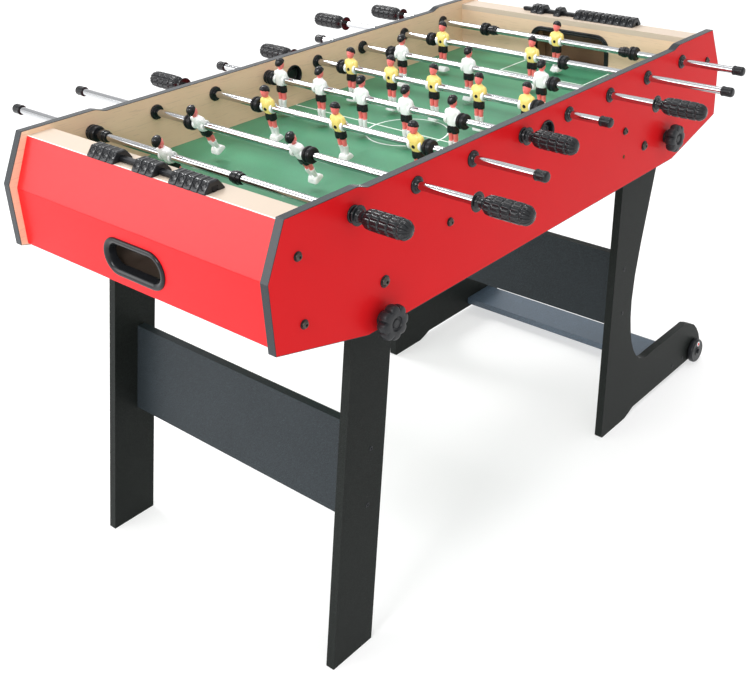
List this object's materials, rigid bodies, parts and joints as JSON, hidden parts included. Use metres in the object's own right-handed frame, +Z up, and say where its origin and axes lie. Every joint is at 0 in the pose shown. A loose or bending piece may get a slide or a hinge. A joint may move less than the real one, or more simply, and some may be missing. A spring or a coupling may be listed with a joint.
{
  "type": "folding foosball table",
  "caption": "Folding table football game with sliding and turning player rods, ball returns, bead scorers and two folding leg frames on casters.",
  "frame": {"origin": "bottom centre of the whole object's box, on the floor", "axes": "+X along the field from the splayed-leg end to the boot-leg end, +Y across the field, +Z up"},
  "size_m": [1.309, 1.065, 0.7964],
  "materials": {
    "red_laminate": "smooth red laminate on board",
    "edge_band": "dark grey-blue edge tape",
    "cream_board": "pale maple laminate",
    "maple_board": "maple laminate, light grain",
    "plain_board": "bare board",
    "green_field": "printed green board with white lines",
    "black_trim": "moulded black plastic",
    "bearing_plastic": "moulded black nylon",
    "black_steel": "black coated steel",
    "bead_plastic": "black polystyrene",
    "bumper_rubber": "black rubber",
    "black_board": "black laminate on board, fine texture",
    "caster_plastic": "black plastic wheel",
    "knob_plastic": "moulded black plastic",
    "chrome_tube": "polished chrome plated steel tube",
    "white_figures": "painted white plastic",
    "yellow_figures": "painted yellow plastic",
    "grip_plastic": "black plastic and rubber"
  },
  "bodies": {
    "cabinet": {"side_panel_right": "red_laminate", "side_panel_left": "red_laminate", "edge_bands": "edge_band", "upper_end_panels": "red_laminate", "lower_end_panels": "red_laminate", "end_ledges": "cream_board", "inner_end_walls": "maple_board", "goal_frames": "black_trim", "return_bezels": "black_trim", "ball_trays": "plain_board", "playfield": "green_field", "support_timbers": "plain_board", "rod_bearings": "bearing_plastic", "entry_rings": "black_trim", "cap_bolts": "black_steel", "score_rails": "bead_plastic", "loose_bumpers": "bumper_rubber"},
    "splayed_legs": {"leg_planks": "black_board", "leg_cross_panel": "black_board", "leg_screws": "black_steel"},
    "boot_legs": {"boot_plates": "black_board", "boot_cross_panel": "black_board", "foot_shelf": "black_board", "boot_hardware": "black_steel"},
    "caster_wheel_right": {"caster_right": "caster_plastic"},
    "caster_wheel_left": {"caster_left": "caster_plastic"},
    "knob_body_near_right": {"knob_near_right": "knob_plastic"},
    "knob_body_near_left": {"knob_near_left": "knob_plastic"},
    "knob_body_far_right": {"knob_far_right": "knob_plastic"},
    "knob_body_far_left": {"knob_far_left": "knob_plastic"},
    "tube_1": {"rod_1": "chrome_tube"},
    "team_1": {"figures_1": "white_figures", "fittings_1": "grip_plastic"},
    "tube_2": {"rod_2": "chrome_tube"},
    "team_2": {"figures_2": "white_figures", "fittings_2": "grip_plastic"},
    "tube_3": {"rod_3": "chrome_tube"},
    "team_3": {"figures_3": "yellow_figures", "fittings_3": "grip_plastic"},
    "tube_4": {"rod_4": "chrome_tube"},
    "team_4": {"figures_4": "white_figures", "fittings_4": "grip_plastic"},
    "tube_5": {"rod_5": "chrome_tube"},
    "team_5": {"figures_5": "yellow_figures", "fittings_5": "grip_plastic"},
    "tube_6": {"rod_6": "chrome_tube"},
    "team_6": {"figures_6": "white_figures", "fittings_6": "grip_plastic"},
    "tube_7": {"rod_7": "chrome_tube"},
    "team_7": {"figures_7": "yellow_figures", "fittings_7": "grip_plastic"},
    "tube_8": {"rod_8": "chrome_tube"},
    "team_8": {"figures_8": "yellow_figures", "fittings_8": "grip_plastic"},
    "score_near_1": {"beads_near_1": "bead_plastic"},
    "score_near_2": {"beads_near_2": "bead_plastic"},
    "score_near_3": {"beads_near_3": "bead_plastic"},
    "score_far_1": {"beads_far_1": "bead_plastic"},
    "score_far_2": {"beads_far_2": "bead_plastic"},
    "score_far_3": {"beads_far_3": "bead_plastic"}
  },
  "joints": [
    {"name": "splayed_legs_fold", "type": "hinge", "parent": "cabinet", "child": "splayed_legs", "pos_m": [-0.4335, -0.0235, 0.627], "axis": [0, -1, 0], "range_deg": [0, 93]},
    {"name": "boot_legs_fold", "type": "hinge", "parent": "cabinet", "child": "boot_legs", "pos_m": [0.3985, -0.0235, 0.612], "axis": [0, -1, 0], "range_deg": [0, 90]},
    {"name": "caster_right_roll", "type": "hinge", "parent": "boot_legs", "child": "caster_wheel_right", "pos_m": [0.6185, -0.3205, 0.03], "axis": [0, 1, 0], "continuous": true},
    {"name": "caster_left_roll", "type": "hinge", "parent": "boot_legs", "child": "caster_wheel_left", "pos_m": [0.6185, 0.2735, 0.03], "axis": [0, 1, 0], "continuous": true},
    {"name": "knob_near_right_screw", "type": "hinge", "parent": "cabinet", "child": "knob_body_near_right", "pos_m": [-0.4425, -0.3435, 0.571], "axis": [0, 1, 0], "continuous": true},
    {"name": "knob_near_left_screw", "type": "hinge", "parent": "cabinet", "child": "knob_body_near_left", "pos_m": [-0.4425, 0.2965, 0.571], "axis": [0, 1, 0], "continuous": true},
    {"name": "knob_far_right_screw", "type": "hinge", "parent": "cabinet", "child": "knob_body_far_right", "pos_m": [0.3985, -0.3435, 0.612], "axis": [0, 1, 0], "continuous": true},
    {"name": "knob_far_left_screw", "type": "hinge", "parent": "cabinet", "child": "knob_body_far_left", "pos_m": [0.3985, 0.2965, 0.612], "axis": [0, 1, 0], "continuous": true},
    {"name": "rod_1_slide", "type": "slide", "parent": "cabinet", "child": "tube_1", "axis": [0, 1, 0], "range_m": [-0.1865, 0.0015]},
    {"name": "rod_1_spin", "type": "hinge", "parent": "tube_1", "child": "team_1", "pos_m": [-0.4905, 0.0685, 0.7515], "axis": [0, 1, 0], "continuous": true},
    {"name": "rod_2_slide", "type": "slide", "parent": "cabinet", "child": "tube_2", "axis": [0, 1, 0], "range_m": [-0.1885, 0.0825]},
    {"name": "rod_2_spin", "type": "hinge", "parent": "tube_2", "child": "team_2", "pos_m": [-0.3565, 0.0295, 0.7515], "axis": [0, 1, 0], "continuous": true},
    {"name": "rod_3_slide", "type": "slide", "parent": "cabinet", "child": "tube_3", "axis": [0, 1, 0], "range_m": [-0.0575, 0.1035]},
    {"name": "rod_3_spin", "type": "hinge", "parent": "tube_3", "child": "team_3", "pos_m": [-0.2225, -0.0465, 0.7515], "axis": [0, 1, 0], "continuous": true},
    {"name": "rod_4_slide", "type": "slide", "parent": "cabinet", "child": "tube_4", "axis": [0, 1, 0], "range_m": [-0.0935, 0.0005]},
    {"name": "rod_4_spin", "type": "hinge", "parent": "tube_4", "child": "team_4", "pos_m": [-0.0885, 0.0235, 0.7515], "axis": [0, 1, 0], "continuous": true},
    {"name": "rod_5_slide", "type": "slide", "parent": "cabinet", "child": "tube_5", "axis": [0, 1, 0], "range_m": [-0.0365, 0.056]},
    {"name": "rod_5_spin", "type": "hinge", "parent": "tube_5", "child": "team_5", "pos_m": [0.0455, -0.0345, 0.7515], "axis": [0, 1, 0], "continuous": true},
    {"name": "rod_6_slide", "type": "slide", "parent": "cabinet", "child": "tube_6", "axis": [0, 1, 0], "range_m": [-0.09, 0.0695]},
    {"name": "rod_6_spin", "type": "hinge", "parent": "tube_6", "child": "team_6", "pos_m": [0.1795, -0.0125, 0.7515], "axis": [0, 1, 0], "continuous": true},
    {"name": "rod_7_slide", "type": "slide", "parent": "cabinet", "child": "tube_7", "axis": [0, 1, 0], "range_m": [-0.149, 0.0665]},
    {"name": "rod_7_spin", "type": "hinge", "parent": "tube_7", "child": "team_7", "pos_m": [0.3135, 0.0445, 0.7515], "axis": [0, 1, 0], "continuous": true},
    {"name": "rod_8_slide", "type": "slide", "parent": "cabinet", "child": "tube_8", "axis": [0, 1, 0], "range_m": [-0.0775, 0.101]},
    {"name": "rod_8_spin", "type": "hinge", "parent": "tube_8", "child": "team_8", "pos_m": [0.4475, -0.0395, 0.7515], "axis": [0, 1, 0], "continuous": true},
    {"name": "beads_near_1_slide", "type": "slide", "parent": "cabinet", "child": "score_near_1", "axis": [0, 1, 0], "range_m": [-0.022, 0.009]},
    {"name": "beads_near_2_slide", "type": "slide", "parent": "cabinet", "child": "score_near_2", "axis": [0, 1, 0], "range_m": [-0.0175, 0.022]},
    {"name": "beads_near_3_slide", "type": "slide", "parent": "cabinet", "child": "score_near_3", "axis": [0, 1, 0], "range_m": [-0.006, 0.0175]},
    {"name": "beads_far_1_slide", "type": "slide", "parent": "cabinet", "child": "score_far_1", "axis": [0, 1, 0], "range_m": [-0.014, 0.027]},
    {"name": "beads_far_2_slide", "type": "slide", "parent": "cabinet", "child": "score_far_2", "axis": [0, 1, 0], "range_m": [-0.0175, 0.014]},
    {"name": "beads_far_3_slide", "type": "slide", "parent": "cabinet", "child": "score_far_3", "axis": [0, 1, 0], "range_m": [-0.003, 0.0175]}
  ]
}
